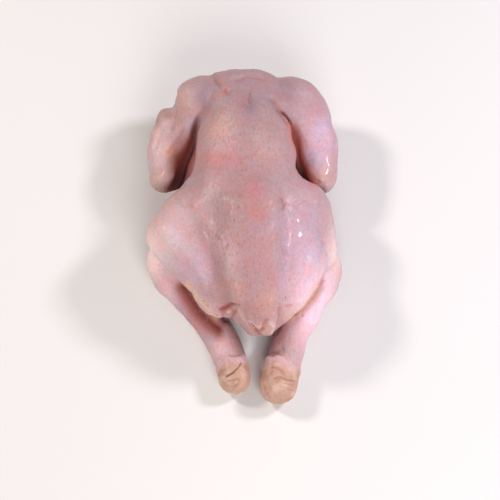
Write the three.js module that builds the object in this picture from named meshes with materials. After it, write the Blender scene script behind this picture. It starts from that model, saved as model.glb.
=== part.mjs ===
// A whole raw chicken, plucked and drawn, feet and head off, lying on its breast with its back up.
// Millimetres, +Z up: +X runs across the bird, +Y towards the neck, and z = 0 is the flat it lies on.
// The bird is one solid. Its skin is the surface where a smooth union of ovals (muscles) and tapered
// limbs (bones with their flesh) is zero, and that surface is meshed as a net of four-sided cells.
import * as THREE from 'three';

// Driving dimensions
const BACK_HEIGHT = 98;
const BREAST = { x: 3, y: 50, z: 27, halfLength: 80, halfWidth: 56, halfDepth: 32 };
const RIBS = { x: 2.5, y: 47, halfLength: 88, halfWidth: 45, halfDepth: 32 };
const RUMP = { x: 9, y: -22, halfLength: 64, halfWidth: 42, halfDepth: 38 };
const NECK = { x: 0, y: 126, z: 62, halfWidth: 30, halfLength: 21, halfDepth: 20 };
const SHOULDER = { y: 119, z: 60, radius: 20, left: -37, right: 45 };
const TAIL_TIP = { x: 16, y: -81, z: 48, radius: 12 };
const LEFT_THIGH = { at: [-37, -24, 60], half: [50, 30, 24], yaw: -45, roll: -14, square: 2.8 };
const LEFT_LOBE_TIP = { at: [-27, -67, 53], half: [13, 9, 10], yaw: -50 };
const LEFT_FLANK = { at: [-36, 14, 50], half: [30, 28, 32], yaw: -30 };
const RIGHT_THIGH = { at: [33, -41, 60], half: [43, 34, 24], yaw: 54, roll: -14, square: 2.6 };
const RIGHT_KNEE = { at: [67, -14, 46], half: [23, 16, 19], yaw: 96 };
const RIGHT_FLANK = { at: [49, 14, 50], half: [30, 28, 32], yaw: 30 };
const SKIN = { red: 0.86, green: 0.68, blue: 0.65, roughness: 0.42 };

// The forms are placed from a point near the middle of the back. The origin of the finished bird is the
// middle of its box, this far from that point.
const BOX_CENTRE = { x: 1.79, y: 0.48 };

// How far the flesh of neighbouring forms runs together
const BLEND = {
  breast: 12, ribs: 8, trunk: 14, rump: 30, thigh: 16, leg: 10, wing: 8, arm: 10, knee: 5, lobeTip: 8,
  tail: 3, tailRoot: 7, hollow: 5,
};

// Each drumstick from knee to hock: x, y, z of the bone and the radius of the flesh
const LEFT_LEG = [
  [-56, -8, 38, 21],
  [-63, -26, 22, 21],
  [-46, -47, 18, 18.5],
  [-25, -77, 14, 15],
  [-11.5, -104, 13, 14],
  [-6.5, -124, 12.5, 13.2],
];
const RIGHT_LEG = [
  [60, -6, 38, 22],
  [67, -30, 22, 21],
  [57, -54, 18, 18],
  [44, -83, 14, 15.2],
  [37, -108, 14, 15],
  [31.5, -131, 14.5, 15.6],
];

// Each wing: the upper arm from shoulder to elbow, then the forearm from elbow to the cut wrist
const LEFT_WING = {
  upper: [[-38, 120, 60, 22.5], [-50, 97, 50, 17], [-59, 73, 40, 12.5], [-65, 54, 38, 12]],
  forearm: [[-68, 54, 42, 14], [-72, 76, 47, 12.5], [-68, 99, 46, 12.5], [-68.5, 111, 43, 9]],
};
const RIGHT_WING = {
  upper: [[46, 120, 60, 22.5], [56, 98, 51, 18], [60, 75, 42, 14.5], [66, 54, 38, 13]],
  forearm: [[70, 53, 42, 14], [74, 77, 47, 12.5], [68, 100, 50, 14], [60, 113, 52, 17]],
};

// Folds pressed into the skin: their route, half width and depth
const FOLDS = [
  { width: 10, depth: 2.2, route: [[37, 7, 92], [35, -33, 90], [38, -53, 84], [40, -62, 76]] },
  { width: 11, depth: 3, route: [[-24, -5, 95], [-20, -40, 90], [-23, -61, 82], [-22, -71, 70]] },
  { width: 4, depth: 3, route: [[-36, 102, 82], [-38, 94, 78], [-40, 90, 72]] },
];

// Hollows cut between the forms: how much taller than wide, and a limb of air through its stations
const HOLLOWS = [
  {
    tall: 2,
    stations: [
      [-36, 108, 70, 0.6], [-39, 96, 62, 0.9], [-43, 85, 56, 1.5], [-47, 76, 52, 2.6],
      [-52, 65, 50, 4.2], [-57, 53, 48, 4.2], [-61.5, 43, 47, 3.6], [-68, 32, 45, 3.2],
      [-80, 21, 43, 5],
    ],
  },
  {
    tall: 2,
    stations: [
      [33, 102, 70, 0.9], [39, 95, 63, 1.4], [44, 85, 57, 2.2], [48, 75, 53, 2.8],
      [50.5, 64, 51, 3.6], [54, 53, 49, 3.9], [59.5, 43, 47, 3.6], [67, 33, 46, 3],
      [82, 28, 43, 4],
    ],
  },
  {
    tall: 0.7,
    stations: [
      [-83, -32, 41, 3], [-73, -36, 41, 4], [-64, -42, 40, 5], [-56, -50, 39, 5.5],
      [-48, -59, 38, 5.5], [-42, -68, 36, 6], [-35, -77, 34, 6], [-26, -86, 32, 6],
      [-15, -92, 30, 6],
    ],
  },
  {
    tall: 0.7,
    stations: [
      [89, -40, 42, 2.5], [79, -44, 41, 3.5], [72, -52, 40, 4.5], [66, -61, 38, 5.5],
      [59, -69, 36, 6], [50, -77, 34, 6], [36, -82, 31, 6],
    ],
  },
];
// How the surface is found and meshed
const NET_CELL = 6.1;
const LIMB_STEPS = 5;
const NEWTON_STEPS = 4;
const SLOPE_STEP = 0.2;
const LEAST_SLOPE = 0.1;
const LEAST_NEARNESS = 0.6;
const CALMING_STEPS = 6;
const PINCH_FILL = 0.01;
const FLAT_REACH = 0.7;

// Smooth union of two distances: the smaller one, rounded off where they differ by less than reach.
function blend(a, b, reach) {
  const near = Math.max(reach - Math.abs(a - b), 0) / reach;
  return Math.min(a, b) - near * near * reach / 4;
}

// An oval form. Its long axis starts along +X and is turned by yaw about +Z, and roll turns the oval
// about that long axis. A square above 2 makes its sides fuller than an ellipsoid's.
function oval({ at, half, yaw = 0, roll = 0, square = 2 }) {
  const turn = new THREE.Matrix4().makeRotationZ(THREE.MathUtils.degToRad(yaw));
  turn.multiply(new THREE.Matrix4().makeRotationX(THREE.MathUtils.degToRad(roll)));
  const axes = [new THREE.Vector3(), new THREE.Vector3(), new THREE.Vector3()];
  turn.extractBasis(...axes);
  const centre = new THREE.Vector3(...at);
  const offset = new THREE.Vector3();
  return (point) => {
    offset.subVectors(point, centre);
    const share = axes.map((axis, i) => Math.abs(offset.dot(axis)) / half[i] + 1e-6);
    const sum = share.reduce((total, s) => total + s ** square, 0);
    const level = sum ** (1 / square);
    const slope = Math.hypot(...share.map((s, i) => s ** (square - 1) / half[i])) * level ** (1 - square);
    return (level - 1) / slope;
  };
}

// A limb: flesh of a changing radius round a smooth bone line through stations of x, y, z, radius.
function limb(stations) {
  const spans = (stations.length - 1) * LIMB_STEPS;
  const bone = new THREE.CatmullRomCurve3(stations.map((s) => new THREE.Vector3(...s)), false, 'catmullrom');
  const points = [];
  const radii = [];
  for (let i = 0; i <= spans; i++) {
    const before = Math.min(Math.floor(i / LIMB_STEPS), stations.length - 2);
    points.push(bone.getPoint(i / spans));
    radii.push(THREE.MathUtils.lerp(stations[before][3], stations[before + 1][3], i / LIMB_STEPS - before));
  }
  const line = new THREE.Line3();
  const nearest = new THREE.Vector3();
  return (point) => {
    let distance = Infinity;
    for (let i = 0; i < spans; i++) {
      line.set(points[i], points[i + 1]);
      const along = line.closestPointToPointParameter(point, true);
      line.at(along, nearest);
      const radius = THREE.MathUtils.lerp(radii[i], radii[i + 1], along);
      distance = Math.min(distance, point.distanceTo(nearest) - radius);
    }
    return distance;
  };
}

// The trunk: two breast muscles below, ribs and rump above, a tail and the stump of the neck.
function makeTrunk() {
  const half = [BREAST.halfLength, BREAST.halfWidth * 0.7, BREAST.halfDepth];
  const apart = BREAST.halfWidth * 0.3;
  const breasts = [-1, 1].map((side) => oval({
    at: [BREAST.x + side * apart, BREAST.y, BREAST.z], half, yaw: 90 - side * 4, square: 2.2,
  }));
  const ribs = oval({
    at: [RIBS.x, RIBS.y, BACK_HEIGHT - RIBS.halfDepth - 1],
    half: [RIBS.halfLength, RIBS.halfWidth, RIBS.halfDepth], yaw: 90, square: 2.3,
  });
  const rump = oval({
    at: [RUMP.x, RUMP.y, BACK_HEIGHT - RUMP.halfDepth],
    half: [RUMP.halfLength, RUMP.halfWidth, RUMP.halfDepth], yaw: 90, square: 2.1,
  });
  const tip = [TAIL_TIP.x, TAIL_TIP.y, TAIL_TIP.z, TAIL_TIP.radius];
  const tail = limb([[12, -48, 64, 25], [14, -68, 56, 18.5], tip]);
  const tailLobes = [
    oval({ at: [TAIL_TIP.x + 6, TAIL_TIP.y - 2, TAIL_TIP.z], half: [9, 11, 12] }),
    oval({ at: [TAIL_TIP.x - 4, TAIL_TIP.y - 4, TAIL_TIP.z - 4], half: [8, 9, 9] }),
  ];
  const neck = oval({
    at: [NECK.x, NECK.y, NECK.z], half: [NECK.halfWidth, NECK.halfLength, NECK.halfDepth], square: 2.8,
  });
  const collar = limb([
    [SHOULDER.left + 8, SHOULDER.y, SHOULDER.z, SHOULDER.radius - 1],
    [SHOULDER.right - 8, SHOULDER.y, SHOULDER.z, SHOULDER.radius - 1],
  ]);
  return (point) => {
    let flesh = blend(breasts[0](point), breasts[1](point), BLEND.breast);
    flesh = blend(flesh, ribs(point), BLEND.ribs);
    flesh = blend(flesh, rump(point), BLEND.rump);
    flesh = blend(flesh, tail(point), BLEND.trunk);
    flesh = blend(flesh, blend(neck(point), collar(point), BLEND.trunk), BLEND.trunk);
    return blend(flesh, blend(tailLobes[0](point), tailLobes[1](point), BLEND.tail), BLEND.tailRoot);
  };
}

// The thighs: broad flat lobes beside the rump, each with the loose flank skin in front of it.
function makeThighs() {
  const left = oval(LEFT_THIGH);
  const leftTip = oval(LEFT_LOBE_TIP);
  const leftFlank = oval(LEFT_FLANK);
  const right = oval(RIGHT_THIGH);
  const rightKnee = oval(RIGHT_KNEE);
  const rightFlank = oval(RIGHT_FLANK);
  return (point) => {
    const leftThigh = blend(left(point), leftTip(point), BLEND.lobeTip);
    const leftLobe = blend(leftThigh, leftFlank(point), BLEND.thigh);
    const rightThigh = blend(right(point), rightKnee(point), BLEND.knee);
    const rightLobe = blend(rightThigh, rightFlank(point), BLEND.thigh);
    return blend(leftLobe, rightLobe, 1);
  };
}

// Both drumsticks, lying on the flat with the hocks towards -Y.
function makeLegs() {
  const left = limb(LEFT_LEG);
  const right = limb(RIGHT_LEG);
  return (point) => Math.min(left(point), right(point));
}

// A folded wing: the upper arm, thick at the shoulder, and the forearm laid outside it.
function makeWing({ upper, forearm }) {
  const arm = limb(upper);
  const outer = limb(forearm);
  return (point) => blend(outer(point), arm(point), BLEND.arm);
}

// A hollow is a limb of air, stretched upwards about the middle height of its stations.
function makeHollow({ tall, stations }) {
  const air = limb(stations);
  const middle = stations.reduce((sum, station) => sum + station[2], 0) / stations.length;
  const pressed = new THREE.Vector3();
  return (point) => air(pressed.set(point.x, point.y, middle + (point.z - middle) / tall));
}

// A fold pushes the skin in along its route, by its full depth on the route and less beside it.
function makeFold({ route, width, depth }) {
  const line = limb(route.map((place) => [...place, 0]));
  return (point) => depth * Math.exp(-((line(point) / width) ** 2));
}

// The whole bird as one function of a point: below zero inside the flesh, above zero outside.
function makeBird() {
  const trunk = makeTrunk();
  const thighs = makeThighs();
  const legs = makeLegs();
  const leftWing = makeWing(LEFT_WING);
  const rightWing = makeWing(RIGHT_WING);
  const hollows = HOLLOWS.map(makeHollow);
  const folds = FOLDS.map(makeFold);
  return (point) => {
    let flesh = blend(trunk(point), thighs(point), BLEND.thigh);
    flesh = blend(flesh, legs(point), BLEND.leg);
    flesh = blend(flesh, Math.min(leftWing(point), rightWing(point)), BLEND.wing);
    for (const hollow of hollows) flesh = -blend(-flesh, hollow(point), BLEND.hollow);
    return folds.reduce((total, fold) => total + fold(point), flesh);
  };
}

// The closed net over the surface where the field is zero: one vertex in each cell that the surface
// crosses, one four-sided face across each cell edge that it cuts, and every vertex drawn onto the
// surface by Newton steps along the field's slope. What lies below z = 0 is pressed flat on it.
function netSurface(field, low, high, cell) {
  const count = [0, 1, 2].map((i) => Math.ceil((high[i] - low[i]) / cell) + 1);
  const index = (x, y, z) => (x * count[1] + y) * count[2] + z;
  const values = new Float64Array(count[0] * count[1] * count[2]);
  const point = new THREE.Vector3();
  const place = (x, y, z) => point.set(low[0] + x * cell, low[1] + y * cell, low[2] + z * cell);
  for (let x = 0; x < count[0]; x++)
    for (let y = 0; y < count[1]; y++)
      for (let z = 0; z < count[2]; z++)
        values[index(x, y, z)] = field(place(x, y, z));
  fillPinches(values, count, index);

  const corners = [];
  for (let i = 0; i < 8; i++) corners.push([i & 1, (i >> 1) & 1, (i >> 2) & 1]);
  const cellEdges = [];
  for (let a = 0; a < 8; a++)
    for (let bit = 1; bit < 8; bit <<= 1)
      if (!(a & bit)) cellEdges.push([corners[a], corners[a | bit]]);

  const vertexOf = new Map();
  const vertices = [];
  for (let x = 0; x < count[0] - 1; x++)
    for (let y = 0; y < count[1] - 1; y++)
      for (let z = 0; z < count[2] - 1; z++) {
        const sum = new THREE.Vector3();
        let crossings = 0;
        for (const [a, b] of cellEdges) {
          const valueA = values[index(x + a[0], y + a[1], z + a[2])];
          const valueB = values[index(x + b[0], y + b[1], z + b[2])];
          if (valueA < 0 === valueB < 0) continue;
          const from = place(x + a[0], y + a[1], z + a[2]).clone();
          sum.add(from.lerp(place(x + b[0], y + b[1], z + b[2]), valueA / (valueA - valueB)));
          crossings++;
        }
        if (!crossings) continue;
        vertexOf.set(index(x, y, z), vertices.length);
        const box = new THREE.Box3(place(x, y, z).clone(), place(x + 1, y + 1, z + 1).clone());
        vertices.push(drawOnto(field, sum.divideScalar(crossings), box));
      }

  const faces = [];
  const around = [[1, 2], [2, 0], [0, 1]];
  for (let x = 1; x < count[0] - 1; x++)
    for (let y = 1; y < count[1] - 1; y++)
      for (let z = 1; z < count[2] - 1; z++) {
        const here = [x, y, z];
        around.forEach(([second, third], first) => {
          const next = [...here];
          next[first] += 1;
          const inside = values[index(...here)] < 0;
          if (inside === values[index(...next)] < 0) return;
          const ring = [[0, 0], [1, 0], [1, 1], [0, 1]].map(([s, t]) => {
            const neighbour = [...here];
            neighbour[second] -= s;
            neighbour[third] -= t;
            return vertexOf.get(index(...neighbour));
          });
          faces.push(...splitFace(vertices, inside ? ring : ring.reverse()));
        });
      }

  calmCrevices(field, vertices, faces, cell);

  const geometry = new THREE.BufferGeometry();
  const positions = vertices.flatMap((v) => [v.x, v.y, v.z < FLAT_REACH ? 0 : v.z]);
  geometry.setAttribute('position', new THREE.Float32BufferAttribute(positions, 3));
  geometry.setIndex(faces);
  geometry.computeVertexNormals();
  return geometry;
}

// Where a face of the grid has flesh at two opposite corners only, the net would touch itself along an
// edge. The nearer of its two open corners becomes flesh, until no such face is left.
function fillPinches(values, count, index) {
  const planes = [[0, 1], [1, 2], [2, 0]];
  const square = [[0, 0], [1, 0], [1, 1], [0, 1]];
  let pinched = true;
  while (pinched) {
    pinched = false;
    for (let x = 0; x < count[0] - 1; x++)
      for (let y = 0; y < count[1] - 1; y++)
        for (let z = 0; z < count[2] - 1; z++)
          for (const [first, second] of planes) {
            const ring = square.map(([s, t]) => {
              const corner = [x, y, z];
              corner[first] += s;
              corner[second] += t;
              return index(...corner);
            });
            const flesh = ring.map((i) => values[i] < 0);
            if (flesh[0] !== flesh[2] || flesh[1] !== flesh[3] || flesh[0] === flesh[1]) continue;
            const open = flesh[0] ? [ring[1], ring[3]] : [ring[0], ring[2]];
            values[values[open[0]] < values[open[1]] ? open[0] : open[1]] = -PINCH_FILL;
            pinched = true;
          }
  }
}

// The vertex moved down the field's slope onto the surface, inside the cell that holds it.
function drawOnto(field, vertex, box) {
  const probe = new THREE.Vector3();
  for (let step = 0; step < NEWTON_STEPS; step++) {
    const value = field(vertex);
    const slope = new THREE.Vector3();
    for (const axis of ['x', 'y', 'z']) {
      probe.copy(vertex)[axis] += SLOPE_STEP;
      slope[axis] = (field(probe) - value) / SLOPE_STEP;
    }
    vertex.addScaledVector(slope, -value / Math.max(slope.lengthSq(), LEAST_SLOPE));
    box.clampPoint(vertex, vertex);
  }
  return vertex;
}

// In a crevice narrower than the net the vertices jump from wall to wall. They are told by the field: a
// cell away from the surface along its slope, open air is at most a share of a cell from flesh. Each is
// laid between its neighbours, a few times over.
function calmCrevices(field, vertices, faces, cell) {
  const neighbours = vertices.map(() => new Set());
  for (let i = 0; i < faces.length; i += 3)
    for (let k = 0; k < 3; k++) {
      neighbours[faces[i + k]].add(faces[i + (k + 1) % 3]);
      neighbours[faces[i + (k + 1) % 3]].add(faces[i + k]);
    }
  const probe = new THREE.Vector3();
  const crowded = vertices.map((vertex) => {
    const value = field(vertex);
    const slope = new THREE.Vector3();
    for (const axis of ['x', 'y', 'z']) {
      probe.copy(vertex)[axis] += SLOPE_STEP;
      slope[axis] = (field(probe) - value) / SLOPE_STEP;
    }
    probe.copy(vertex).addScaledVector(slope.normalize(), cell);
    return field(probe) < LEAST_NEARNESS * cell;
  });
  const spread = crowded.map((own, i) => own || [...neighbours[i]].some((j) => crowded[j]));
  for (let step = 0; step < CALMING_STEPS; step++) {
    const before = vertices.map((vertex) => vertex.clone());
    vertices.forEach((vertex, i) => {
      if (!spread[i]) return;
      vertex.set(0, 0, 0);
      for (const j of neighbours[i]) vertex.addScaledVector(before[j], 1 / neighbours[i].size);
    });
  }
}

// A four-sided face as two triangles, cut along its shorter diagonal.
function splitFace(vertices, [a, b, c, d]) {
  const across = vertices[a].distanceTo(vertices[c]);
  const other = vertices[b].distanceTo(vertices[d]);
  return across < other ? [a, b, c, a, c, d] : [b, c, d, b, d, a];
}

function makeChicken() {
  const low = [-104, -160, -19];
  const high = [104, 162, 112];
  const skin = new THREE.MeshStandardMaterial({
    color: new THREE.Color(SKIN.red, SKIN.green, SKIN.blue), roughness: SKIN.roughness, metalness: 0,
  });
  const geometry = netSurface(makeBird(), low, high, NET_CELL);
  geometry.translate(-BOX_CENTRE.x, -BOX_CENTRE.y, 0);
  const mesh = new THREE.Mesh(geometry, skin);
  mesh.name = 'chicken';
  return mesh;
}

const group = new THREE.Group();
group.add(makeChicken());

export default group;
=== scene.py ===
import bpy
import numpy as np
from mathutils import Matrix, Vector


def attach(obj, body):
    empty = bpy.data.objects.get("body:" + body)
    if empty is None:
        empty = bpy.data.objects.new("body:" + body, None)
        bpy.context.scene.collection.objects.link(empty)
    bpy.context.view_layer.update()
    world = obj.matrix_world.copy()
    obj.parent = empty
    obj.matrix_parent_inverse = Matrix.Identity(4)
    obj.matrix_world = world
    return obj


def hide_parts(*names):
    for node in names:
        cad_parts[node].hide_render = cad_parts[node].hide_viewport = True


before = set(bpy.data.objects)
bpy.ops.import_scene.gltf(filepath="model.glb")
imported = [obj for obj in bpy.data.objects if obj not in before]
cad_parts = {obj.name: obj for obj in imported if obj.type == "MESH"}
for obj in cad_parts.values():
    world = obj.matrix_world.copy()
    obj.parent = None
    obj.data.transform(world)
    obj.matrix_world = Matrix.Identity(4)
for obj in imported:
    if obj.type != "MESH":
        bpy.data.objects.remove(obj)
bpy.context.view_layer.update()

# Camera
# The bird is looked down on from behind its tail, 70 degrees above the floor, from a good metre away,
# so that the back fills the middle of a square picture. Places on the seen side of the bird are given
# further down as pixels across and down in that picture.
PICTURE = 500
PIXELS_PER_SLOPE = 1197.0
MIDDLE_PIXEL = (242.0, 250.0)
LOOK_DOWN = np.radians(70.0)
CAMERA_DISTANCE = 1041.0
# The frame's origin, in the millimetres in which the form is drawn
FORM_CENTRE = np.array([1.79, 0.48, 0.0])
MILLIMETRE = 0.001

looked_at = np.array([0.0, -19.0, 50.0])
ahead = np.array([0.0, np.cos(LOOK_DOWN), -np.sin(LOOK_DOWN)])
upward = np.array([0.0, np.sin(LOOK_DOWN), np.cos(LOOK_DOWN)])
eye = looked_at - CAMERA_DISTANCE * ahead
side_step = (PICTURE / 2 - MIDDLE_PIXEL[0]) / PIXELS_PER_SLOPE * CAMERA_DISTANCE
camera_data = bpy.data.cameras.new("picture_camera")
camera_data.sensor_width = 36.0
camera_data.lens = camera_data.sensor_width * PIXELS_PER_SLOPE / PICTURE
camera_data.clip_start = 0.05
camera = bpy.data.objects.new("picture_camera", camera_data)
bpy.context.scene.collection.objects.link(camera)
camera.location = Vector((eye - FORM_CENTRE + np.array([side_step, 0.0, 0.0])) * MILLIMETRE)
camera.rotation_euler = Vector(ahead).to_track_quat("-Z", "Y").to_euler()
bpy.context.scene.camera = camera


# Floor and lights
# A plain pale floor, a warm light on the left, a cooler one on the right, and a broad soft one behind the
# tail. A pale even sky fills the shadows.
def add_light(name, place, aim, size, watts, tint):
    """A square area light at a place, turned so that it shines at the aim point."""
    data = bpy.data.lights.new(name, "AREA")
    data.size = size
    data.energy = watts
    data.color = tint
    lamp = bpy.data.objects.new(name, data)
    bpy.context.scene.collection.objects.link(lamp)
    lamp.location = place
    lamp.rotation_euler = (Vector(aim) - Vector(place)).to_track_quat("-Z", "Y").to_euler()


add_light("left_light", (-0.88, 0.45, 1.00), (0.0, 0.0, 0.05), 0.20, 8.8, (1.0, 0.91, 0.85))
add_light("right_light", (0.92, 0.35, 0.92), (0.0, 0.0, 0.05), 0.20, 8.9, (0.95, 0.91, 1.0))
add_light("tail_light", (0.25, -1.0, 0.85), (0.0, -0.05, 0.0), 0.7, 10.5, (1.0, 0.97, 0.96))

floor_mesh = bpy.data.meshes.new("floor")
floor_mesh.from_pydata([(-4, -4, 0), (4, -4, 0), (4, 4, 0), (-4, 4, 0)], [], [(0, 1, 2, 3)])
floor = bpy.data.objects.new("floor", floor_mesh)
bpy.context.scene.collection.objects.link(floor)
floor_finish = bpy.data.materials.new("pale_floor")
floor_finish.use_nodes = True
floor_finish.node_tree.nodes["Principled BSDF"].inputs["Base Color"].default_value = (0.80, 0.79, 0.78, 1.0)
floor_finish.node_tree.nodes["Principled BSDF"].inputs["Roughness"].default_value = 0.7
floor_mesh.materials.append(floor_finish)

world = bpy.data.worlds.new("studio")
world.use_nodes = True
world.node_tree.nodes["Background"].inputs["Color"].default_value = (0.95, 0.94, 0.95, 1.0)
world.node_tree.nodes["Background"].inputs["Strength"].default_value = 0.22
bpy.context.scene.world = world
bpy.context.scene.view_settings.view_transform = "Standard"


# Skin of the bird
# The real piece is one plucked bird: thin moist skin over breast, ribs, rump, thighs, legs and wings.
# Its form is the same union of ovals and limbs as the solid, in millimetres from the same middle point,
# meshed about four times finer and then given the folds and lumps of loose skin.
BACK_HEIGHT = 98
# Ovals have a middle, half sizes, a turn and a tilt in degrees, and a power that squares them. Limbs are
# places along a bone, each with its radius.
BREAST = dict(x=3, y=50, z=27, length=80, width=56, depth=32)
RIBS = dict(at=(2.5, 47, BACK_HEIGHT - 33), half=(88, 45, 32), yaw=90, square=2.3)
RUMP = dict(at=(9, -22, BACK_HEIGHT - 38), half=(64, 42, 38), yaw=90, square=2.1)
NECK = dict(at=(0, 126, 62), half=(30, 21, 20), square=2.8)
COLLAR_BONE = [(-29, 119, 60, 19), (37, 119, 60, 19)]
TAIL_TIP = (16, -81, 48, 12)
TAIL_BONE = [(12, -48, 64, 25), (14, -68, 56, 18.5), TAIL_TIP]
RIGHT_TAIL_LOBE = dict(at=(TAIL_TIP[0] + 6, TAIL_TIP[1] - 2, TAIL_TIP[2]), half=(9, 11, 12))
LEFT_TAIL_LOBE = dict(at=(TAIL_TIP[0] - 4, TAIL_TIP[1] - 4, TAIL_TIP[2] - 4), half=(8, 9, 9))
LEFT_THIGH = dict(at=(-37, -24, 60), half=(50, 30, 24), yaw=-45, roll=-14, square=2.8)
LEFT_LOBE_TIP = dict(at=(-27, -67, 53), half=(13, 9, 10), yaw=-50)
LEFT_FLANK = dict(at=(-36, 14, 50), half=(30, 28, 32), yaw=-30)
RIGHT_THIGH = dict(at=(33, -41, 60), half=(43, 34, 24), yaw=54, roll=-14, square=2.6)
RIGHT_KNEE = dict(at=(67, -14, 46), half=(23, 16, 19), yaw=96)
RIGHT_FLANK = dict(at=(49, 14, 50), half=(30, 28, 32), yaw=30)
LEFT_LEG = [(-56, -8, 38, 21), (-63, -26, 22, 21), (-46, -47, 18, 18.5), (-25, -77, 14, 15),
            (-11.5, -104, 13, 14), (-6.5, -124, 12.5, 13.2)]
RIGHT_LEG = [(60, -6, 38, 22), (67, -30, 22, 21), (57, -54, 18, 18), (44, -83, 14, 15.2),
             (37, -108, 14, 15), (31.5, -131, 14.5, 15.6)]
LEFT_UPPER_ARM = [(-38, 120, 60, 22.5), (-50, 97, 50, 17), (-59, 73, 40, 12.5), (-65, 54, 38, 12)]
LEFT_FOREARM = [(-68, 54, 42, 14), (-72, 76, 47, 12.5), (-68, 99, 46, 12.5), (-68.5, 111, 43, 9)]
RIGHT_UPPER_ARM = [(46, 120, 60, 22.5), (56, 98, 51, 18), (60, 75, 42, 14.5), (66, 54, 38, 13)]
RIGHT_FOREARM = [(70, 53, 42, 14), (74, 77, 47, 12.5), (68, 100, 50, 14), (60, 113, 52, 17)]
# How softly each part runs into the next, in millimetres
BLEND = dict(breast=12, ribs=8, rump=30, tail_root=14, neck=14, tail_lobes=3, tail=7, lobe_tip=8, knee=5,
             flank=16, thighs=1, thigh=16, leg=3, arm=10, wing=5)
# Folds in the skin: half width, depth and route
FOLDS = [
    (10, 2.2, [(37, 7, 92), (35, -33, 90), (38, -53, 84), (40, -62, 76)]),
    (11, 3.0, [(-24, -5, 95), (-20, -40, 90), (-23, -61, 82), (-22, -71, 70)]),
    (4, 3, [(-36, 102, 82), (-38, 94, 78), (-40, 90, 72)]),
]
# Gaps that part wings and lobes from the body: how tall for their width, how soft their edge, and a route
# with the half width at each place
HOLLOWS = [
    (2.0, 4, [(-36, 108, 70, 0.6), (-39, 96, 62, 0.9), (-43, 85, 56, 1.5), (-47, 76, 52, 2.6),
              (-52, 65, 50, 4.2), (-57, 53, 48, 4.2), (-61.5, 43, 47, 3.6), (-68, 32, 45, 3.2),
              (-80, 21, 43, 5)]),
    (2.0, 4, [(33, 102, 70, 0.9), (39, 95, 63, 1.4), (44, 85, 57, 2.2), (48, 75, 53, 2.8),
              (50.5, 64, 51, 3.6), (54, 53, 49, 3.9), (59.5, 43, 47, 3.6), (67, 33, 46, 3),
              (82, 28, 43, 4)]),
    (0.7, 2, [(-83, -32, 41, 3), (-73, -36, 41, 4), (-64, -42, 40, 5), (-56, -50, 39, 5.5),
              (-48, -59, 38, 5.5), (-42, -68, 36, 6), (-35, -77, 34, 6), (-26, -86, 32, 6),
              (-15, -92, 30, 6)]),
    (0.7, 2, [(89, -40, 42, 2.5), (79, -44, 41, 3.5), (72, -52, 40, 4.5), (66, -61, 38, 5.5),
              (59, -69, 36, 6), (50, -77, 34, 6), (36, -82, 31, 6)]),
]
LIMB_STEPS = 5
FAR = 40.0
LIMB_MARGIN = 20.0


def blend(a, b, reach):
    """Smooth union of two distances: the smaller, less a quarter of reach times the squared nearness."""
    near = np.maximum(reach - np.abs(a - b), 0) / reach
    return np.minimum(a, b) - near * near * reach / 4


def bell(value, reach):
    """One where the value is zero, falling off as a bell curve whose half width is the reach."""
    return np.exp(-(value / reach) ** 2)


def oval(place, at, half, yaw=0.0, roll=0.0, square=2.0):
    """Distance to an oval: the offsets along its turned axes, each over its half size, are summed to a
    power, and the level less one is divided by its slope."""
    x, y, z = (place[i] - at[i] for i in range(3))
    cos_yaw, sin_yaw = np.cos(np.radians(yaw)), np.sin(np.radians(yaw))
    cos_roll, sin_roll = np.cos(np.radians(roll)), np.sin(np.radians(roll))
    along = x * cos_yaw + y * sin_yaw
    across = y * cos_yaw - x * sin_yaw
    if roll:
        across, z = across * cos_roll + z * sin_roll, z * cos_roll - across * sin_roll
    share = [np.abs(offset) / size + 1e-6 for offset, size in zip((along, across, z), half)]
    level = sum(s ** square for s in share) ** (1 / square)
    slope = np.sqrt(sum((s ** (square - 1) / size) ** 2 for s, size in zip(share, half)))
    return (level - 1) / (slope * level ** (1 - square))


def bone_line(stations):
    """Smooth line through stations: a Catmull-Rom curve with its end stations mirrored outwards, in
    LIMB_STEPS steps a span, with the radius run straight from station to station."""
    knots = np.array(stations, float)
    padded = np.vstack([2 * knots[0] - knots[1], knots, 2 * knots[-1] - knots[-2]])
    step = np.arange((len(knots) - 1) * LIMB_STEPS + 1) / LIMB_STEPS
    span = np.minimum(step.astype(int), len(knots) - 2)
    t = (step - span)[:, None]
    a, b, c, d = (padded[span + i] for i in range(4))
    curve = b + 0.5 * t * (c - a + t * (2 * a - 5 * b + 4 * c - d + t * (3 * (b - c) + d - a)))
    curve[:, 3] = (b + (c - b) * t)[:, 3]
    return curve


def limb(place, stations):
    """Distance to a limb: the least, over its short stretches, of the distance to the bone line less
    the radius there. On a grid, what lies far from the limb is only called far."""
    line = bone_line(stations)
    reach = LIMB_MARGIN + line[:, 3].max()
    low, high = line[:, :3].min(0) - reach, line[:, :3].max(0) + reach
    if place[0].ndim == 3:
        shape = np.broadcast_shapes(*(p.shape for p in place))
        result = np.full(shape, FAR)
        window = tuple(
            slice(*np.searchsorted(place[i].ravel(), (low[i], high[i]))) for i in range(3)
        )
        x, y, z = place[0][window[0]], place[1][:, window[1]], place[2][:, :, window[2]]
    else:
        x, y, z = place
    nearest = None
    for start, end in zip(line[:-1], line[1:]):
        way = end[:3] - start[:3]
        along = ((x - start[0]) * way[0] + (y - start[1]) * way[1] + (z - start[2]) * way[2])
        along = np.clip(along / (way @ way), 0, 1)
        gap = np.sqrt((x - start[0] - along * way[0]) ** 2 + (y - start[1] - along * way[1]) ** 2
                      + (z - start[2] - along * way[2]) ** 2)
        gap -= start[3] + (end[3] - start[3]) * along
        nearest = gap if nearest is None else np.minimum(nearest, gap)
    if place[0].ndim == 3:
        result[window] = nearest
        return result
    return nearest


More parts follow.
